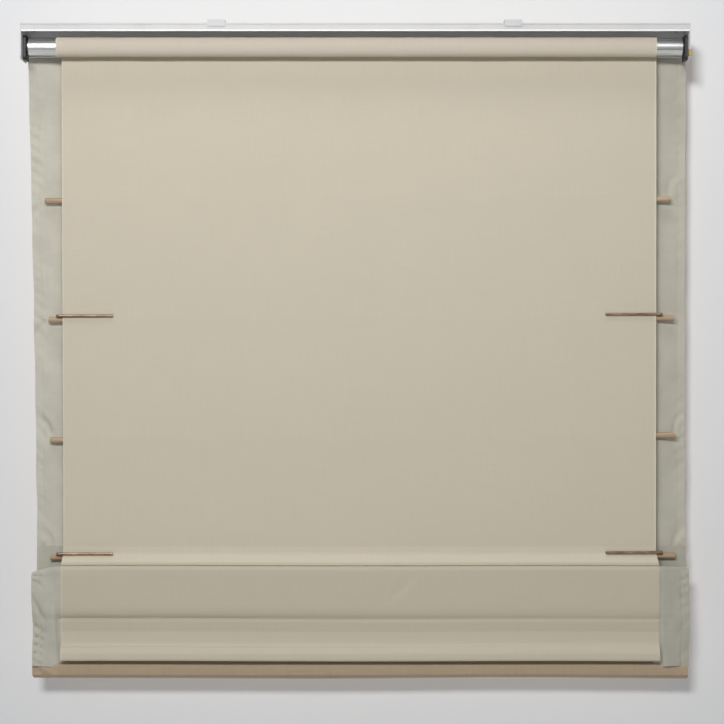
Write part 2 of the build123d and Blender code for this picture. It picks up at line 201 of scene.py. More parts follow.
def woven(name, colour, thread, contrast, mottle, sheen, clouds=9.0, edge=None, painted_shade=()):
    """Plain weave on a UV map in metres. thread is the pitch. contrast is the unevenness of the
    yarns, mottle that of the cloth, in clouds of that many a metre. edge is how far in the sheet's
    selvedges are lighter. Each painted_shade entry (axis, start, end, factor) is painted shade or
    light: it darkens the cloth from start to end along u (0) or v (1)."""
    n = Nodes(name)
    uv = n.position(uv=True)
    u, v, _ = n.split(uv)
    turn = math.pi / thread
    warp = n.math("ABSOLUTE", n.math("SINE", n.math("MULTIPLY", u, turn)))
    weft = n.math("ABSOLUTE", n.math("SINE", n.math("MULTIPLY", v, turn)))
    half = n.math("MULTIPLY", n.math("SINE", n.math("MULTIPLY", u, turn)),
                  n.math("SINE", n.math("MULTIPLY", v, turn)))
    over = n.range(half, -0.35, 0.35, smooth=True)
    height = n.math("ADD", n.math("MULTIPLY", warp, over),
                    n.math("MULTIPLY", weft, n.math("SUBTRACT", 1.0, over)))
    slub_u = n.noise(n.scaled(uv, (18.0, 700.0, 1.0)), detail=2.0)
    slub_v = n.noise(n.scaled(uv, (700.0, 18.0, 1.0)), detail=2.0)
    slub = n.math("MULTIPLY", n.math("ADD", slub_u, slub_v), 0.5)
    cloud = n.noise(uv, clouds, detail=4.0, roughness=0.6)
    tone = n.ramp(slub, [(0.36, shade_of(colour, 1 - contrast)), (0.5, colour),
                         (0.64, shade_of(colour, 1 + contrast * 0.8))])
    tone = n.mix(n.range(cloud, 0.38, 0.66, 0.0, mottle), tone, shade_of(colour, 0.80))
    # painted shade: the weave's low places, between the threads, are painted darker
    tone = n.mix(n.range(height, 0.15, 0.9, 0.08, 0.0), tone, shade_of(colour, 0.62))
    if edge:
        side = n.math("MINIMUM", u, n.math("SUBTRACT", sheet_width, u))
        tone = n.mix(n.range(side, edge * 0.6, edge, 0.5, 0.0), tone, shade_of(colour, 1.25))
    # each painted_shade band is painted shade: it darkens the cloth across its span
    for axis, start, end, factor in painted_shade:
        along = (u, v)[axis]
        inside = n.math("MULTIPLY", n.range(along, start - PAINTED_SHADE_BLUR, start + PAINTED_SHADE_BLUR),
                        n.range(along, end - PAINTED_SHADE_BLUR, end + PAINTED_SHADE_BLUR, 1.0, 0.0))
        tone = n.mix(inside, tone, (factor, factor * 0.995, factor * 0.985), "MULTIPLY")
    n.bump(n.math("ADD", height, n.math("MULTIPLY", slub, 1.6)), thread * 0.22, 0.55)
    return n.finish(tone, n.range(slub, 0.3, 0.7, 0.78, 0.92), Sheen_Weight=sheen,
                    Sheen_Roughness=0.6, Specular_IOR_Level=0.25)


PAINTED_SHADE_BLUR = 1.2 * MM                           # half the width of a change of painted shade
SHEET_COLOUR = (0.620, 0.565, 0.447)
# painted light: the sheet's cloth where it is wound on the tube is a lighter, warmer copy of it
ROLL_COLOUR = (0.676, 0.605, 0.505)
LINING_COLOUR = (0.600, 0.580, 0.490)
FACE_COLOUR = (0.475, 0.365, 0.250)
SHEET_WEAVE = dict(thread=0.42 * MM, contrast=0.022, mottle=0.05, sheen=0.08, clouds=8.0,
                   edge=1.6 * MM)
BAND_AT, CREASE_AT, HEM_AT = 25 * MM, 104 * MM, 127 * MM   # where the folded sheet's painted light and shade change, along it from the split
RIGHT_STRIP = (0, shade_width - 60 * MM, shade_width + 10 * MM)   # the lining right of the sheet, painted darker as painted shade
fold_start = sheet_top - split_z
sheet_cloth = woven("sheet_cloth", SHEET_COLOUR, **SHEET_WEAVE)
roll_cloth_painted_light = woven("roll_cloth_painted_light", ROLL_COLOUR, **SHEET_WEAVE)
# painted light and shade: the folded sheet is painted lighter up to the band's end, darker on the
# panel and below the crease, and a little darker on the hem
fold_cloth_painted_light = woven("sheet_fold_painted_light", shade_of(SHEET_COLOUR, 1.07), **SHEET_WEAVE,
                   painted_shade=[(1, fold_start + BAND_AT, fold_start + CREASE_AT, 0.86),
                          (1, fold_start + CREASE_AT, fold_start + HEM_AT, 0.82),
                          (1, fold_start + HEM_AT, 1.2, 0.91)])
# painted shade: the lining's right strip is painted darker
lining_cloth = woven("lining_cloth", LINING_COLOUR, 0.50 * MM, 0.03, 0.42, 0.22, 26.0,
                     painted_shade=[(*RIGHT_STRIP, 0.935)])
# painted shade: the lining in the lowest pleat is a darker copy of the lining, darker still on its
# right strip
flap_cloth_painted_shade = woven("lining_fold_painted_shade", shade_of(LINING_COLOUR, 0.88), 0.50 * MM, 0.03, 0.5, 0.22,
                   30.0, painted_shade=[(*RIGHT_STRIP, 0.90)])
face_cloth = woven("face_cloth", FACE_COLOUR, 0.75 * MM, 0.07, 0.16, 0.12)
pocket_cloth = woven("pocket_cloth", LINING_COLOUR, 0.55 * MM, 0.07, 0.2, 0.12)


def thread_material():
    """Sewing thread, twisted round its length."""
    n = Nodes("sewing_thread")
    twist = n.math("SINE", n.math("MULTIPLY", n.split(n.position())[0], 9000.0))
    tone = n.mix(n.range(twist, -1.0, 1.0), shade_of(LINING_COLOUR, 0.75),
                 shade_of(LINING_COLOUR, 1.1))
    return n.finish(tone, 0.6, Sheen_Weight=0.1)


def strip_material():
    """The woven back and pile of the hook-and-loop strips."""
    n = Nodes("hook_and_loop")
    place = n.position()
    pile = n.noise(place, 2600.0, 2.0)
    tone = n.ramp(pile, [(0.3, (0.50, 0.48, 0.43)), (0.7, (0.74, 0.72, 0.66))])
    n.bump(pile, 0.6 * MM, 0.8)
    return n.finish(tone, 0.9, Sheen_Weight=0.3)


# ---------------------------------------------------------------- hard materials

PAINT_COLOUR = (0.625, 0.625, 0.63)
PAINTED_LIGHT_FRONT, PAINTED_LIGHT_BACK = -22 * MM, -8 * MM    # painted light: the paint brightens between these two y, towards the rail's inside
BEAD_FRONT, BEAD_HEIGHT = -24 * MM, 0.4 * MM   # the painted highlight on the bead along the rail's front edge
FRONT_HEIGHT = 9.6 * MM                        # from the rail's top down to that edge


def painted(name="white_paint", colour=PAINT_COLOUR, lip=None):
    """Satin paint with faint runs along the extrusion and a little grime. It is painted paler
    towards the room, as painted light for the rail's dim inside, and painted bright up to a little
    above lip, the height of the rail's front edge, as a painted highlight on its bead."""
    n = Nodes(name)
    place = n.position()
    runs = n.noise(n.scaled(place, (6.0, 900.0, 900.0)), detail=2.0)
    grime = n.noise(place, 28.0, 5.0, 0.65)
    peel = n.noise(place, 1500.0, 1.0)
    tone = n.mix(n.range(grime, 0.52, 0.78, 0.0, 0.30), colour, shade_of(colour, 0.80))
    tone = n.mix(n.range(runs, 0.35, 0.65, 0.0, 0.08), tone, shade_of(colour, 0.78))
    _, y, z = n.split(place)
    # painted light: paler inside the rail, towards the room
    tone = n.mix(n.range(y, PAINTED_LIGHT_FRONT, PAINTED_LIGHT_BACK), tone, shade_of(colour, 1.38))
    if lip:
        # painted highlight along the rail's front bead
        bead = n.math("MULTIPLY", n.range(z, lip, lip + BEAD_HEIGHT, 1.0, 0.0),
                      n.range(y, BEAD_FRONT, PAINTED_LIGHT_FRONT, 1.0, 0.0))
        tone = n.mix(bead, tone, (0.92, 0.92, 0.91))
    n.bump(n.math("ADD", n.math("MULTIPLY", peel, 0.5), runs), 0.05 * MM, 0.5)
    return n.finish(tone, n.range(grime, 0.3, 0.8, 0.46, 0.60), Coat_Weight=0.05)


def drawn_aluminium():
    """Bright drawn tube: fine lines along its length and six dark grooves along it, each partly a
    groove in the bump and partly a painted dark reflection band.
    """
    n = Nodes("drawn_aluminium")
    place = n.position()
    _, y, z = n.split(place)
    lines = n.noise(n.scaled(place, (5.0, 2400.0, 2400.0)), detail=3.0)
    smear = n.noise(n.scaled(place, (60.0, 160.0, 160.0)), detail=4.0)
    angle = n.math("ARCTAN2", n.math("SUBTRACT", z, roller.z), n.math("SUBTRACT", y, roller.y))
    groove = n.math("ABSOLUTE", n.math("SINE", n.math("MULTIPLY_ADD", angle, 3.0, -1.25)))
    dark = n.range(groove, 0.03, 0.17, 1.0, 0.0, smooth=True)
    tone = n.mix(n.range(smear, 0.3, 0.75, 0.0, 0.35), (0.86, 0.87, 0.88), (0.66, 0.65, 0.62))
    # the grooves' dark colour is partly a painted reflection band
    tone = n.mix(n.math("MULTIPLY", dark, 0.9), tone, (0.13, 0.12, 0.12))
    n.bump(n.math("SUBTRACT", n.math("MULTIPLY", lines, 0.3), dark), 0.25 * MM, 0.7)
    return n.finish(tone, n.range(lines, 0.3, 0.7, 0.24, 0.40), Metallic=1.0)


def metal(name, colour, roughness, worn=0.3):
    """Bare metal with a fine grain; worn is how strong its dull patches are."""
    n = Nodes(name)
    place = n.position()
    fine = n.noise(place, 1800.0, 2.0)
    wear = n.noise(place, 140.0, 5.0, 0.7)
    tone = n.mix(n.range(wear, 0.42, 0.72, 0.0, worn), colour, shade_of(colour, 0.45))
    n.bump(fine, 0.03 * MM, 0.6)
    return n.finish(tone, n.range(wear, 0.3, 0.75, roughness, roughness + 0.2), Metallic=1.0)


def moulded_black():
    """Black moulded plastic with a fine grain and some dust."""
    n = Nodes("moulded_black")
    place = n.position()
    grain = n.noise(place, 2200.0, 2.0)
    dust = n.noise(place, 90.0, 5.0, 0.7)
    tone = n.mix(n.range(dust, 0.5, 0.8, 0.0, 0.35), (0.016, 0.015, 0.014), (0.11, 0.10, 0.09))
    n.bump(grain, 0.06 * MM, 0.6)
    return n.finish(tone, n.range(dust, 0.3, 0.8, 0.38, 0.62))


def turned_wood():
    """Clear softwood dowel: long grain lines, darker streaks and a little mottling."""
    n = Nodes("turned_wood")
    place = n.position()
    grain = n.noise(n.scaled(place, (14.0, 900.0, 900.0)), detail=5.0, roughness=0.65)
    streak = n.noise(n.scaled(place, (5.0, 210.0, 210.0)), detail=3.0)
    tone = n.ramp(grain, [(0.28, (0.27, 0.165, 0.095)), (0.50, (0.47, 0.335, 0.215)),
                          (0.72, (0.60, 0.45, 0.305))])
    tone = n.mix(n.range(streak, 0.5, 0.72, 0.0, 0.5), tone, (0.25, 0.145, 0.08))
    n.bump(grain, 0.12 * MM, 0.6)
    return n.finish(tone, n.range(grain, 0.3, 0.7, 0.62, 0.48), Coat_Weight=0.1)


def bronze_wire():
    """Bronze lacquer on wire, rubbed paler where it meets the cloth."""
    n = Nodes("bronze_wire")
    place = n.position()
    rub = n.noise(n.scaled(place, (60.0, 260.0, 260.0)), detail=4.0, roughness=0.65)
    tone = n.ramp(rub, [(0.3, (0.19, 0.11, 0.065)), (0.55, (0.33, 0.215, 0.135)),
                        (0.75, (0.50, 0.37, 0.25))])
    n.bump(rub, 0.05 * MM, 0.5)
    return n.finish(tone, n.range(rub, 0.3, 0.75, 0.28, 0.42), Metallic=0.45, Coat_Weight=0.3,
                    Coat_Roughness=0.2)


thread = thread_material()
white = painted()
rail_paint = painted("rail_paint", lip=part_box("headrail")[1].z - FRONT_HEIGHT)
clip_paint = painted("clip_paint", (0.60, 0.60, 0.60))
steel = metal("bare_steel", (0.42, 0.42, 0.43), 0.35)
brass = metal("aged_brass", (0.42, 0.29, 0.11), 0.36, 0.6)
black = moulded_black()
wood = turned_wood()
wire = bronze_wire()
strip = strip_material()
CAD_FINISH = {
    rail_paint: ["headrail"],
    white: ["end_bracket_left", "end_bracket_right"],
    clip_paint: ["mounting_clip_left", "mounting_clip_right"],
    steel: ["bracket_screws", "idle_pin", "motor_core", "torsion_spring", "bottom_bar"],
    brass: ["bracket_catch"],
    black: ["idle_socket", "motor_socket", "spring_anchor", "idle_plug", "bearing_sleeve",
            "drive_plug", "bar_cap_left", "bar_cap_right"],
    drawn_aluminium(): ["roller_tube"],
    wood: [f"rib_rod_{i}" for i in range(1, 7)],
    wire: [f"retainer_{n}_{s}" for n in (2, 4) for s in ("left", "right")],
    strip: ["hook_strip", "loop_strip"],
}
for material, names in CAD_FINISH.items():
    for node in names:
        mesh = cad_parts[node].data
        mesh.materials.clear()
        mesh.materials.append(material)

# ---------------------------------------------------------------- mesh helpers


def smooth(t):
    """0 below 0, 1 above 1, and a smooth step between."""
    t = np.clip(t, 0.0, 1.0)
    return t * t * (3 - 2 * t)


def bell(x, centre, half):
    """A smooth hump of height 1 at its centre that ends half away from it."""
    return smooth(1 - np.abs(x - centre) / half)


def ripple(u, v, seed, count=7, low=3.0, high=14.0):
    """A smooth unevenness between about -1 and 1: a few plane waves from a fixed seed."""
    rng = np.random.default_rng(seed)
    total = np.zeros(np.broadcast(u, v).shape)
    weight = 0.0
    for _ in range(count):
        a, b = rng.uniform(low, high, 2) * rng.choice([-1, 1], 2)
        share = rng.uniform(0.5, 1.0)
        total = total + share * np.sin(a * u + b * v + rng.uniform(0, 2 * math.pi))
        weight += share
    return total / weight * 1.8


def step_lengths(points):
    return np.linalg.norm(np.diff(points, axis=0), axis=1)


def distances(points):
    """How far along a polyline each of its points lies."""
    return np.concatenate([[0.0], np.cumsum(step_lengths(points))])


def new_piece(name, vertices, faces, material, uv=None, flat_from=None):
    """A mesh object. uv has a row for each vertex, and faces from flat_from on are shaded flat."""
    mesh = bpy.data.meshes.new(name)
    mesh.from_pydata(vertices.tolist(), [], faces)
    mesh.update()
    piece = bpy.data.objects.new(name, mesh)
    bpy.context.scene.collection.objects.link(piece)
    mesh.materials.append(material)
    shading = np.ones(len(faces), bool)
    if flat_from is not None:
        shading[flat_from:] = False
    mesh.polygons.foreach_set("use_smooth", shading)
    mesh.set_sharp_from_angle(angle=math.radians(50))
    if uv is not None:
        layer = mesh.uv_layers.new(name="UVMap")
        loops = np.zeros(len(mesh.loops), int)
        mesh.loops.foreach_get("vertex_index", loops)
        layer.data.foreach_set("uv", uv[loops].ravel())
    return piece


def cloth_piece(name, points, material, thickness, v0=0.0):
    """A closed shell on a grid of points (rows along the cloth, columns across it), with a UV in
    metres. v0 is where along the whole cloth it begins."""
    rows, columns = points.shape[:2]
    down = np.gradient(points, axis=0)
    across = np.gradient(points, axis=1)
    normal = np.cross(across, down)
    normal /= np.maximum(np.linalg.norm(normal, axis=2, keepdims=True), 1e-12)
    sides = [points + normal * thickness / 2, points - normal * thickness / 2]
    vertices = np.concatenate([s.reshape(-1, 3) for s in sides])
    count = rows * columns
    index = np.arange(count).reshape(rows, columns)
    a, b, c, d = index[:-1, :-1], index[:-1, 1:], index[1:, 1:], index[1:, :-1]
    front = np.stack([a, d, c, b], -1).reshape(-1, 4)
    back = np.stack([a, b, c, d], -1).reshape(-1, 4) + count
    rims = []
    for line in (index[:, 0][::-1], index[:, -1], index[0], index[-1][::-1]):
        p, q = line[:-1], line[1:]
        rims.append(np.stack([p, q, q + count, p + count], -1))
    faces = np.concatenate([front, back] + rims).tolist()
    v = v0 + distances(points[:, columns // 2])
    u = points[0, :, 0] - points[0, 0, 0]
    grid = np.stack(np.meshgrid(u, v), -1).reshape(-1, 2)
    return new_piece(name, vertices, faces, material, np.concatenate([grid, grid]), 2 * len(front))


def path_points(parts, step):
    """Points along a profile of lines and arcs in (y, z), about step apart.
    A part is ("line", start, end) or ("arc", centre, radius, first angle, last angle)."""
    points = []
    for kind, *rest in parts:
        if kind == "line":
            a, b = np.array(rest[0]), np.array(rest[1])
            n = max(2, int(np.linalg.norm(b - a) / step) + 1)
            piece = a + np.linspace(0, 1, n)[:, None] * (b - a)
        else:
            centre, radius, first, last = rest
            n = max(7, int(abs(last - first) * radius / step) + 1)
            angle = np.linspace(first, last, n)
            piece = np.array(centre) + radius * np.stack([np.cos(angle), np.sin(angle)], -1)
        points.extend(piece[1:] if points else piece)
    return np.array(points)


def stitches(name, points, body, length=2.6 * MM, gap=1.0 * MM, radius=0.22 * MM):
    """A row of sewing stitches along a polyline of points: short spindles that dip at both ends."""
    along = distances(points)
    count = int(along[-1] / (length + gap))
    ring = [(math.cos(a), math.sin(a)) for a in np.linspace(0, 2 * math.pi, 6, endpoint=False)]
    vertices, faces = [], []
    for i in range(count):
        start = i * (length + gap) + gap / 2
        ends = [np.array([np.interp(start + s * length, along, points[:, k]) for k in range(3)])
                for s in (0.0, 0.5, 1.0)]
        axis = ends[2] - ends[0]
        axis /= np.linalg.norm(axis)
        side = np.cross(axis, (0.0, 1.0, 0.0))
        side /= np.linalg.norm(side)
        up = np.cross(side, axis)
        base = len(vertices)
        for centre, share, height in zip(ends, (0.5, 1.0, 0.5), (0.4, 0.0, 0.4)):
            for c, s in ring:
                p = centre + radius * share * (c * side + s * up)
                vertices.append((p[0], p[1] + height * radius, p[2]))
        for r in range(2):
            for k in range(6):
                m = (k + 1) % 6
                first = base + 6 * r
                faces.append((first + k, first + m, first + 6 + m, first + 6 + k))
        faces.append([base + k for k in range(5, -1, -1)])
        faces.append([base + 12 + k for k in range(6)])
    piece = new_piece(name, np.array(vertices), faces, thread)
    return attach(piece, body)


# ---------------------------------------------------------------- how the cloth hangs

SIDE_HEM = 10.0 * MM           # seam of the lining's side hems, in from the edge
SEAM_HALF = 2.4 * MM           # half the width of a seam's ridge
PUCKER = 4.0 * MM              # height of a pucker at that seam
EDGE_ZONE = 60 * MM            # how far in the drawn edges move the cloth
CURL = 4.0 * MM                # the right edge turns back a little
DEEPEST = 9.0 * MM             # no wrinkle reaches further into the room
SHADE_SHELL = 0.6 * MM         # thickness of the lining and the face fabric
SHEET_SHELL = 0.5 * MM         # thickness of the backing sheet and the rod pockets
ROLL_SHELL = 0.42 * MM         # thickness of the sheet as it is drawn on the tube


def shade_columns(step=5.0 * MM):
    """Columns across the shade, closer together at its side hems."""
    edge = 48 * MM
    fine = np.arange(0, edge, 1.6 * MM)
    mid = np.linspace(edge, shade_width - edge, int((shade_width - 2 * edge) / step))
    return np.concatenate([fine, mid, (shade_width - fine)[::-1]])


def edge_shift(u, z):
    """The shade's edges: the left one is drawn in further down, and both wander a little."""
    left = smooth(1 - u / EDGE_ZONE)
    right = smooth(1 - (shade_width - u) / EDGE_ZONE)
    drop = np.clip((shade_top - z) / (shade_top - split_z), 0, 1)
    pull = (-5.9 + 13.8 * drop + 1.4 * np.sin(math.pi * drop)) * MM
    wander = ripple(z, 0 * z, 5, low=18, high=70)
    taper = 1.5 * MM * smooth(drop * 2)
    return left * (pull + 0.8 * MM * wander) - right * (taper + 0.8 * MM * wander)


def side_puckers(u, z):
    """Puckers along the seams of the side hems: slanting pinches that fade into the cloth."""
    total = 0.0
    for near, seed in ((u, 11), (shade_width - u, 12)):
        phase = (z / (17 * MM) * math.pi + near / (30 * MM) * math.pi
                 + 2.6 * ripple(z, 0 * z, seed, low=15, high=60))
        pinch = (1 - np.abs(np.sin(phase))) ** 2
        strength = 0.15 + 0.85 * smooth(0.5 + 0.55 * ripple(z, 0 * z, seed + 3, low=9, high=30))
        fade = smooth(1 - np.abs(near - 0.7 * SIDE_HEM) / (17 * MM))
        seam = 0.7 * MM * bell(near, SIDE_HEM, SEAM_HALF)
        total = total + PUCKER * pinch * strength * fade + seam
    return total


def soft_creases(u, z):
    """Broad soft wrinkles of the side strips, where no rod pocket holds the lining."""
    near = np.minimum(u, shade_width - u)
    strip = smooth(1 - (near - 34 * MM) / (30 * MM))
    broad = 0.5 + 0.5 * ripple(u + 0.5 * z, z * 0.7, 21, low=25, high=60)
    fine = 0.5 + 0.5 * ripple(u + 0.3 * z, z * 0.9, 22, low=70, high=160)
    return strip * (3.8 * broad + 1.2 * fine) * MM + (1 - strip) * 0.6 * MM


def pulled_fold(x, z, tip, reach, height, half):
    """A bowed fold that a rod's tip (x, z) pulls in the cloth. It ends at tip + reach."""
    along = np.array(reach)
    length = np.linalg.norm(along)
    along /= length
    dx, dz = x - tip[0], z - tip[1]
    t = (dx * along[0] + dz * along[1]) / length
    bow = 0.17 * length * np.sign(-along[0]) * np.sin(math.pi * np.clip(t, 0, 1))
    off = dx * along[1] - dz * along[0] - bow
    ends = smooth(t * 3.5) * smooth((1.15 - t) * 2.2)
    ridge = np.exp(-(off / half) ** 2) - 0.5 * np.exp(-((off - 1.9 * half) / (1.3 * half)) ** 2)
    return height * ends * ridge


# rod, its end (0 left, 1 right), reach, height and half width of each pulled fold
FOLDS = [("rib_rod_3", 0, (-22 * MM, 31 * MM), 4.2 * MM, 3.6 * MM),
         ("rib_rod_3", 1, (17 * MM, 36 * MM), 3.0 * MM, 3.0 * MM),
         ("rib_rod_2", 0, (-18 * MM, -34 * MM), 2.4 * MM, 4.6 * MM),
         ("rib_rod_1", 0, (-16 * MM, -40 * MM), 2.2 * MM, 5.0 * MM),
         ("rib_rod_1", 1, (16 * MM, 42 * MM), 2.0 * MM, 4.6 * MM),
         ("rib_rod_4", 0, (-15 * MM, 40 * MM), 2.2 * MM, 4.4 * MM),
         ("rib_rod_4", 1, (19 * MM, 46 * MM), 2.6 * MM, 4.4 * MM)]


def hanging_points(y, u, z):
    """The grid of a hanging layer in the plane y, at columns u and heights z."""
    grid_u, grid_z = np.meshgrid(u, z)
    x = shade_x[0] + grid_u + edge_shift(grid_u, grid_z)
    out = soft_creases(grid_u, grid_z) + side_puckers(grid_u, grid_z)
    out = out + CURL * smooth(1 - (shade_width - grid_u) / (42 * MM))
    for rod, side, reach, height, half in FOLDS:
        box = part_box(rod)
        tip = (box[side].x, (box[0].z + box[1].z) / 2)
        out = out + pulled_fold(x, grid_z, tip, reach, height, half)
    out = DEEPEST * np.tanh(np.maximum(out, 0.1 * MM) / DEEPEST)
    return np.stack([x, y + out, grid_z], -1)


# the hanging shade, cut at the rods so that each length blends between the bodies at its ends
segment_ends = [shade_top] + [r.z for r in rods[:3]] + [split_z]
columns = shade_columns()
for layer, node, y, cloth, slot in (("lining", "lining", lining_y, lining_cloth, "sage_fabric"),
                                    ("face", "face_fabric", face_y, face_cloth, "beige_fabric")):
    for i in range(4):
        high, low = segment_ends[i], segment_ends[i + 1]
        z = np.linspace(high, low, int((high - low) / (4.5 * MM)) + 1)
        piece = cloth_piece(f"{layer}_cloth_{i + 1}", hanging_points(y, columns, z), cloth,
                            SHADE_SHELL, v0=shade_top - high)
        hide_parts(node)
        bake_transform(piece)

# ---------------------------------------------------------------- backing sheet


def sheet_columns(step=6.0 * MM):
    """Columns across the backing sheet, closer together at its selvedges."""
    fine = np.array([0.0, 0.8, 1.6, 3.2]) * MM
    mid = np.linspace(6 * MM, sheet_width - 6 * MM, int(sheet_width / step))
    return np.concatenate([fine, mid, (sheet_width - fine)[::-1]])


def sheet_wave(u, z):
    """Faint hanging waves of the backing sheet, and the soft line where it lies near a rod."""
    wave = (0.55 * MM * ripple(u, 0.12 * z, 31, low=8, high=34)
            + 0.2 * MM * ripple(u, z, 32, low=6, high=20))
    over = sum(bell(z, r.z, 16 * MM) for r in rods[:3])
    return -np.abs(wave) - 0.35 * MM * over


def sheet_drift(u, z):
    """The sheet winds on a little to the left, and its left edge comes in on the way down."""
    drop = smooth((sheet_top - z) / (sheet_top - split_z))
    left, right = smooth(1 - u / sheet_width), smooth(u / sheet_width)
    return left * (2.4 * drop - 0.9) * MM - right * 0.6 * MM * drop


sheet_u = sheet_columns()
z = np.linspace(sheet_top, split_z, int((sheet_top - split_z) / (5 * MM)) + 1)
grid_u, grid_z = np.meshgrid(sheet_u, z)
hold = smooth((sheet_top - grid_z) / (40 * MM)) * smooth((grid_z - split_z) / (20 * MM))
points = np.stack([sheet_x[0] + grid_u, sheet_y + hold * sheet_wave(grid_u, grid_z), grid_z], -1)
points[..., 0] += sheet_drift(grid_u, grid_z)
hanging_sheet = cloth_piece("backing_cloth", points, sheet_cloth, SHEET_SHELL)
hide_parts("backing_sheet")
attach(hanging_sheet, "head")
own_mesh(hanging_sheet)

# turns left on the tube: one spiral from the tube out to where the sheet leaves it
TURNS = 3
FIRST_TURN = 0.28 * MM         # how far from the tube the first turn's centreline lies
angle = np.linspace(-2 * math.pi * TURNS, 0, 44 * TURNS + 1)
inner = tube_radius + FIRST_TURN
outward = angle / (2 * math.pi * TURNS) + 1              # 0 at the tube, 1 where the sheet leaves
radius = inner + (sheet_y - roller.y - inner) * outward
roll_u = np.linspace(0, roll_x[1] - roll_x[0], 70)
wobble = 0.12 * MM * ripple(roll_u, 0 * roll_u, 41, low=12, high=60)
grid_r = radius[:, None] + wobble[None, :] * smooth(outward)[:, None]
skew = -3.0 * MM * smooth(-angle / (1.4 * math.pi))[:, None] * (1 - roll_u / roll_u[-1])
points = np.stack([roll_x[0] + roll_u + skew,
                   roller.y + grid_r * np.cos(angle)[:, None],
                   roller.z - grid_r * np.sin(angle)[:, None]], -1)
turns = cloth_piece("wound_cloth", points[::-1], roll_cloth_painted_light, ROLL_SHELL)
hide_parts("wound_turns")
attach(turns, "roller")

# ---------------------------------------------------------------- lowest pleat

VALLEY_Z = split_z - 99.5 * MM       # the pressed line across the panel
VALLEY_DEPTH = 8.0 * MM
HEM_DROP = 150.5 * MM                # from rib 4 down to the front layers' lower edge
FLAP_EDGE = 42 * MM                  # the side flaps show from the edge to here
crest = rods[5]                      # the upper fold goes over this rod
loop = rods[4]                       # and the lower one under this rod
hem_line = rods[3].z - HEM_DROP


def panel_push(u, z):
    """How far the front layers of the lowest pleat lie inside their plane: a pressed line, one
    slanting wrinkle and some unevenness. u runs across the sheet. Positive is towards the room."""
    across = smooth(u / sheet_width)
    depth = VALLEY_DEPTH - 2.6 * MM * across
    slope = np.clip((crest.z - z) / (crest.z - VALLEY_Z), 0, 1)
    near_line = np.clip((VALLEY_Z + 19 * MM - z) / (19 * MM), 0, 1) ** 2.2
    below = 1 - 0.30 * smooth((VALLEY_Z - z) / (3.2 * MM))
    push = depth * np.where(z >= VALLEY_Z, 0.45 * slope + 0.55 * near_line, below)
    above = np.clip(1 - (z - VALLEY_Z) / (6.5 * MM), 0, 1)
    pinch = np.where(z >= VALLEY_Z, above, np.clip(1 - (VALLEY_Z - z) / (2.6 * MM), 0, 1))
    push = push + 2.4 * MM * (1 - 0.80 * across) * pinch
    slant = (u - sheet_width * 0.562) - (z - (crest.z - 30 * MM)) * 0.78
    reach = bell(z, crest.z - 28 * MM, 26 * MM)
    push = push + 1.2 * MM * reach * (bell(slant, 0, 12 * MM) - 0.8 * bell(slant, 15 * MM, 12 * MM))
    uneven = 0.35 * MM * ripple(u, z, 51, low=9, high=34)
    return (push + uneven) * smooth((crest.z + 2 * MM - z) / (12 * MM))


def fold_profile(offset):
    """Centreline of a layer of the shade in the lowest pleat, at offset outside the lining."""
    down_y = lining_y + offset
    loop_r = down_y - loop.y
    front_y = pleat_front + cloth_thickness / 2 + offset
    crest_r = crest.y - front_y
    return path_points([
        ("line", (down_y, split_z), (down_y, loop.z)),
        ("arc", (loop.y, loop.z), loop_r, 0.0, -math.pi),
        ("line", (loop.y - loop_r, loop.z), (crest.y + crest_r, crest.z)),
        ("arc", (crest.y, crest.z), crest_r, 0.0, math.pi),
        ("line", (front_y, crest.z), (front_y, hem_line)),
    ], 3.6 * MM)


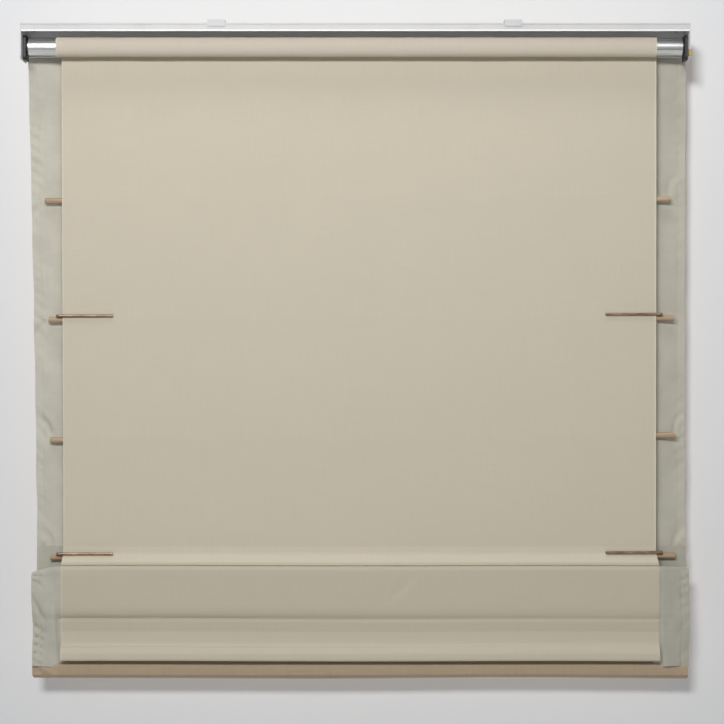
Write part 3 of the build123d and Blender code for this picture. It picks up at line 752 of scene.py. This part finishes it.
def folded_layer(name, node, offset, cloth):
    """The lining or the face fabric in the lowest pleat. share is 1 on the front panel and 0 on
    the layers behind it. Beside the sheet the panel's ends hang free as flaps."""
    profile = fold_profile(offset)
    u = shade_columns(6.0 * MM)
    in_front = smooth((crest.y - profile[:, 0]) / (6 * MM)) * (profile[:, 1] < crest.z + 8 * MM)
    share = in_front[:, None]
    along = np.linspace(0, 1, len(profile))
    bottom = along[np.argmin(profile[:, 1])]
    half = len(profile) // 2
    top = along[half + np.argmax(profile[half:, 1])]
    left_in = np.interp(along, [0, bottom, top, top + 0.02, 1],
                        np.array([7.9, 4.6, 3.4, 3.0, 5.6]) * MM)[:, None]
    grid_u, grid_y = np.meshgrid(u, profile[:, 0])
    grid_z = np.broadcast_to(profile[:, 1][:, None], grid_u.shape)

    # across: the left edge is drawn in, and both edges wander a little
    left = smooth(1 - grid_u / EDGE_ZONE)
    right = smooth(1 - (shade_width - grid_u) / EDGE_ZONE)
    x = shade_x[0] + grid_u + left * left_in - right * 1.2 * MM * (1 - share)
    x = x + (left + right) * 0.6 * MM * ripple(grid_z, 0 * grid_z, 64, low=30, high=90)

    # down: the crest droops towards both ends, and the hem ends higher behind the sheet
    after = (along > top - 0.06)[:, None]
    turned = smooth((grid_z - crest.z + 16 * MM) / (20 * MM)) * after
    left_slope = np.clip(1 - grid_u / (46 * MM), 0, 1) ** 1.6
    right_slope = np.clip(1 - (shade_width - grid_u) / (46 * MM), 0, 1)
    droop = (9.0 * MM * left_slope + 2.0 * MM * right_slope) * turned
    near = np.minimum(grid_u, shade_width - grid_u)
    over = smooth((near - FLAP_EDGE - 4 * MM) / (5 * MM))
    low = share * smooth((hem_line + 30 * MM - grid_z) / (30 * MM))
    uneven = 1.2 * MM * ripple(grid_u, 0 * grid_u, 61, low=30, high=110)
    hem = low * (11 * MM * over + (1 - over) * uneven)

    # in and out: the pressed panel, the loose flaps, and the soft lower fold
    flap = share * smooth((FLAP_EDGE - near) / (8 * MM))
    push = panel_push(grid_u - (sheet_x[0] - shade_x[0]), grid_z)
    y = grid_y + share * push * (1 - 0.75 * flap)
    free = flap * smooth((FLAP_EDGE - 2 * MM - near) / (10 * MM))
    y = y + free * (1.3 * side_puckers(grid_u, grid_z)
                    + 3.8 * MM * ripple(grid_u, grid_z, 65, low=25, high=80))
    seams = (bell(near, FLAP_EDGE - 2 * MM, SEAM_HALF)
             + bell(grid_z, hem_line + 46 * MM, SEAM_HALF))
    y = y + flap * 0.9 * MM * seams
    y = y + (1 - share) * 0.4 * MM * ripple(grid_u, grid_z, 62, low=5, high=18)
    bulge = smooth((loop.y - grid_y) / (6 * MM)) * smooth((loop.z + 25 * MM - grid_z) / (14 * MM))
    y = y - 10.5 * MM * (1 - share) * bulge * smooth((grid_z - loop.z + 8 * MM) / (9 * MM))
    under = smooth((loop.z + 6 * MM - grid_z) / (12 * MM))
    corner = (np.exp(-((grid_u - 14 * MM) / (20 * MM)) ** 2) * (1 - share)
              * smooth((loop.z + 26 * MM - grid_z) / (14 * MM)))
    y = y + corner * 1.6 * MM * np.sin((grid_u * 0.9 + grid_z * 1.6) / (13 * MM) * math.pi)

    z = grid_z - droop + hem + under * 0.9 * MM * ripple(grid_u, 0 * grid_u, 63, low=5, high=16)
    piece = cloth_piece(name, np.stack([x, y, z], -1), cloth, SHADE_SHELL,
                        v0=shade_top - split_z)
    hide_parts(node)
    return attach(piece, "bottom")


folded_layer("lining_fold", "lining_pleat", 0.0, flap_cloth_painted_shade)
folded_layer("face_fold", "face_pleat", face_y - lining_y, face_cloth)


def sheet_profile():
    """The sheet's centreline: over the crest, a pinched line below it, the panel, the bar."""
    front_y = pleat_front + cloth_thickness / 2 - (face_y - lining_y)
    radius = crest.y - front_y
    bend_z = rods[3].z + 2.5 * MM
    wall = bar_size.y / 2 + 0.8 * MM
    half = bar_size.z / 2 + 0.9 * MM
    back_y, fore_y = bar.y + wall, bar.y - wall
    turn = 3.2 * MM
    ridge = (crest.y - 0.55 * radius, crest.z + radius + 1.6 * MM)
    corners = [
        (sheet_y, split_z),
        (sheet_y, bend_z + 3 * MM),
        (sheet_y - 0.7 * MM, bend_z),
        ridge,
        (ridge[0] - 0.9 * MM, ridge[1] - 0.9 * MM),
        (ridge[0] + 1.0 * MM, ridge[1] - 2.3 * MM),
        (front_y + 0.2 * MM, crest.z + 3.6 * MM),
        (front_y, crest.z + 1 * MM),
        (front_y, bar.z + half + 16 * MM),
        (front_y - 0.6 * MM, bar.z + half + 9 * MM),
        (fore_y + 1.4 * MM, bar.z + half + 0.6 * MM),
        (fore_y - 0.4 * MM, bar.z + half - 3.2 * MM),
        (fore_y - 0.5 * MM, bar.z - half + turn)]
    return path_points([
        *(("line", a, b) for a, b in zip(corners, corners[1:])),
        ("arc", (fore_y - 0.5 * MM + turn, bar.z - half + turn), turn, math.pi, 1.5 * math.pi),
        ("arc", (back_y - turn, bar.z - half + turn), turn, -math.pi / 2, 0.0),
        ("line", (back_y, bar.z - half + turn), (back_y, bar.z + half + 6 * MM)),
    ], 2.0 * MM)


def folded_sheet():
    """The backing sheet over the lowest pleat. It follows the shade's panel down to the bar."""
    profile = sheet_profile()
    steps = distances(profile)
    height = profile[:, 1]
    panel = (height < crest.z + 3 * MM) * smooth((height - bar.z - 4 * MM) / (14 * MM))
    panel[int(np.argmin(height)):] = 0
    grid_u, grid_y = np.meshgrid(sheet_u, profile[:, 0])
    grid_z = np.broadcast_to(profile[:, 1][:, None], grid_u.shape)
    y = grid_y + panel[:, None] * panel_push(grid_u, grid_z)
    x = sheet_x[0] + grid_u + sheet_drift(grid_u, np.full_like(grid_u, split_z))
    flare = smooth(steps / (34 * MM))[:, None]
    left, right = smooth(1 - grid_u / sheet_width), smooth(grid_u / sheet_width)
    x = x + flare * (right * 3.2 * MM - left * 1.4 * MM)
    loose = smooth(steps / (30 * MM))[:, None]
    z = grid_z + 0.5 * MM * ripple(grid_u, 0 * grid_u, 72, low=4, high=16) * loose
    piece = cloth_piece("backing_fold", np.stack([x, y, z], -1), fold_cloth_painted_light, SHEET_SHELL,
                        v0=sheet_top - split_z)
    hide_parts("backing_pleat")
    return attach(piece, "bottom")


folded_sheet()

# ---------------------------------------------------------------- rod pockets

POCKET_END, POCKET_BEND = 8.5 * MM, 6.0 * MM     # above and below a rod, where its pocket lies flat
SEAM_AT = 7.2 * MM                               # the seams, above and below the rod
FLAT_POCKETS = 4                                 # these hang with the shade; two are in folds


def rib_pocket(number, body):
    """A strip sewn above and below the rod; in the lowest pleat's folds it goes round the rod."""
    rod, (left, right) = rods[number - 1], sideways(f"rib_pocket_{number}")
    round_r = rod_radius + 0.6 * MM
    if number <= FLAT_POCKETS:
        wall = lining_y - 0.55 * MM
        profile = path_points([
            ("line", (wall, rod.z + POCKET_END), (wall, rod.z + POCKET_BEND)),
            ("line", (wall, rod.z + POCKET_BEND), (rod.y + 1.0 * MM, rod.z + round_r)),
            ("arc", (rod.y, rod.z), round_r, math.pi * 0.42, math.pi * 1.58),
            ("line", (rod.y + 1.0 * MM, rod.z - round_r), (wall, rod.z - POCKET_BEND)),
            ("line", (wall, rod.z - POCKET_BEND), (wall, rod.z - POCKET_END)),
        ], 1.6 * MM)
    else:
        profile = path_points([("arc", (rod.y, rod.z), round_r, 0.0, 1.96 * math.pi)],
                              1.6 * MM)
    u = np.linspace(0, right - left, 110)
    grid_u, grid_y = np.meshgrid(u, profile[:, 0])
    grid_z = np.broadcast_to(profile[:, 1][:, None], grid_u.shape)
    low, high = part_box(f"rib_rod_{number}")
    slope = (high.z - low.z - 2 * rod_radius) / (right - left)      # the rod hangs a little askew
    push = 0.16 * MM * ripple(grid_u, grid_z * 6, 80 + number, low=40, high=160)
    points = np.stack([left + grid_u, grid_y + push, grid_z + (grid_u - u[-1] / 2) * slope], -1)
    piece = cloth_piece(f"rod_pocket_{number}", points, pocket_cloth, SHEET_SHELL)
    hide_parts(f"rib_pocket_{number}")
    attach(piece, body)
    return slope, left, right


for number, body in enumerate(["rib_1", "rib_2", "rib_3", "bottom", "bottom", "bottom"], 1):
    slope, left, right = rib_pocket(number, body)
    if number <= FLAT_POCKETS:
        x = np.linspace(left + 2 * MM, right - 2 * MM, 60)
        for side, name in ((1, "upper"), (-1, "lower")):
            z = rods[number - 1].z + side * SEAM_AT + (x - (left + right) / 2) * slope
            row = np.stack([x, np.full_like(x, lining_y - 0.85 * MM), z], -1)
            stitches(f"pocket_seam_{number}_{name}", row, body)

# ---------------------------------------------------------------- stage, light and camera


def area_light(name, place, aim, power, width, height):
    """A soft light; place and aim are measured from CENTRE, in metres."""
    data = bpy.data.lights.new(name, "AREA")
    data.shape = "RECTANGLE"
    data.energy, data.size, data.size_y = power, width, height
    lamp = bpy.data.objects.new(name, data)
    bpy.context.scene.collection.objects.link(lamp)
    lamp.location = CENTRE + Vector(place)
    lamp.rotation_euler = (Vector(aim) - Vector(place)).to_track_quat("-Z", "Y").to_euler()
    return lamp


def plain_plane(name, corners, material):
    """A flat piece of the stage, which is no part of the object."""
    piece = new_piece(name, np.array(corners, float), [(0, 1, 2, 3)], material)
    return piece


def seen_or_not(tree, unseen, seen):
    """A strength that differs between what is seen directly and what lights the object."""
    path = tree.nodes.new("ShaderNodeLightPath")
    strength = tree.nodes.new("ShaderNodeMapRange")
    strength.inputs["To Min"].default_value = unseen
    strength.inputs["To Max"].default_value = seen
    tree.links.new(path.outputs["Is Camera Ray"], strength.inputs["Value"])
    return strength.outputs[0]


def stage_material(name, colour, glow, one_sided=False, seen=None):
    """Matt paint. Its glow stands for the light of a large room, which fills the shadows on it;
    seen is its strength where the camera looks at it. one_sided paint is clear from behind."""
    n = Nodes(name)
    material = n.finish((*colour, 1.0), 0.9, Specular_IOR_Level=0.1, Emission_Strength=glow)
    n.shader.inputs["Emission Color"].default_value = (1.0, 1.0, 1.0, 1.0)
    if seen:
        n.link(seen_or_not(n.tree, glow, seen), n.shader.inputs["Emission Strength"])
    if one_sided:
        clear = n.add("ShaderNodeBsdfTransparent")
        mix = n.add("ShaderNodeMixShader")
        facing = n.add("ShaderNodeNewGeometry")
        output = next(o for o in n.tree.nodes if o.type == "OUTPUT_MATERIAL")
        n.tree.links.new(facing.outputs["Backfacing"], mix.inputs[0])
        n.tree.links.new(n.shader.outputs[0], mix.inputs[1])
        n.tree.links.new(clear.outputs[0], mix.inputs[2])
        n.tree.links.new(mix.outputs[0], output.inputs["Surface"])
    return material


FLOOR_Z, WALL_TOP = -2.1, 1.1
WALL_Y = 0.096                     # just behind the raised pleats
WALL_HALF, FLOOR_HALF = 2, 5       # half their widths
wall = plain_plane("wall", [(-WALL_HALF, WALL_Y, FLOOR_Z), (WALL_HALF, WALL_Y, FLOOR_Z),
                            (WALL_HALF, WALL_Y, WALL_TOP), (-WALL_HALF, WALL_Y, WALL_TOP)],
                   stage_material("wall_paint", (0.67, 0.68, 0.695), 0.15, one_sided=True))
wall.visible_shadow = False
plain_plane("floor", [(-FLOOR_HALF, -FLOOR_HALF, FLOOR_Z), (FLOOR_HALF, -FLOOR_HALF, FLOOR_Z),
                      (FLOOR_HALF, FLOOR_HALF, FLOOR_Z), (-FLOOR_HALF, FLOOR_HALF, FLOOR_Z)],
            stage_material("floor_paint", (0.72, 0.72, 0.71), 0.06, seen=0.42))

CENTRE = Vector((-0.0038, 0.0, -0.468))          # the middle of the photograph, on the object
CAMERA_DISTANCE = 3.0


def light_only(lamp, target, state):
    """Links a light to one object: INCLUDE lights nothing else, EXCLUDE lights everything else."""
    group = bpy.data.collections.new(f"{lamp.name}_receivers")
    group.objects.link(target)
    group.collection_objects[0].light_linking.link_state = state
    lamp.light_linking.receiver_collection = group


# three lights for the object as seen in the photograph, one for the wall, two for the room side
key = area_light("key", (-0.3, -2.2, 1.0), (0, 0, 0.7), 39, 1.3, 0.3)
top = area_light("top", (-0.1, -0.9, 2.3), (0, 0, 0), 14, 1.4, 0.5)
fill = area_light("fill", (-0.35, -2.9, 0.0), (0, 0, 0.3), 7, 1.4, 0.6)
wall_wash = area_light("wall_wash", (-0.5, -4.0, 1.2), (-0.1, 0, 1.15), 30, 0.7, 0.4)
wall_wash.data.spread = math.radians(80)
for lamp in (key, top, fill):
    light_only(lamp, wall, "EXCLUDE")
light_only(wall_wash, wall, "INCLUDE")
area_light("room_side", (1.1, 2.5, 1.2), (0, 0, 0), 38, 1.4, 1.4)
area_light("room_left", (-1.9, 2.2, 0.2), (0, 0, 0), 15, 1.2, 1.2)


def studio_world(lighting, seen):
    """A dim even surrounding light that shows as a pale background."""
    world = bpy.data.worlds.new("studio")
    bpy.context.scene.world = world
    world.use_nodes = True
    tree = world.node_tree
    background = tree.nodes["Background"]
    background.inputs[0].default_value = (0.98, 0.98, 1.0, 1.0)
    tree.links.new(seen_or_not(tree, lighting, seen), background.inputs[1])


studio_world(lighting=0.11, seen=0.74)

camera_data = bpy.data.cameras.new("camera")
camera_data.sensor_width = 36.0
camera_data.lens = 108.2
camera = bpy.data.objects.new("camera", camera_data)
bpy.context.scene.collection.objects.link(camera)
camera.location = CENTRE + Vector((0, -CAMERA_DISTANCE, 0))
camera.rotation_euler = (math.pi / 2, 0, 0)
bpy.context.scene.camera = camera
bpy.context.scene.view_settings.view_transform = "Standard"
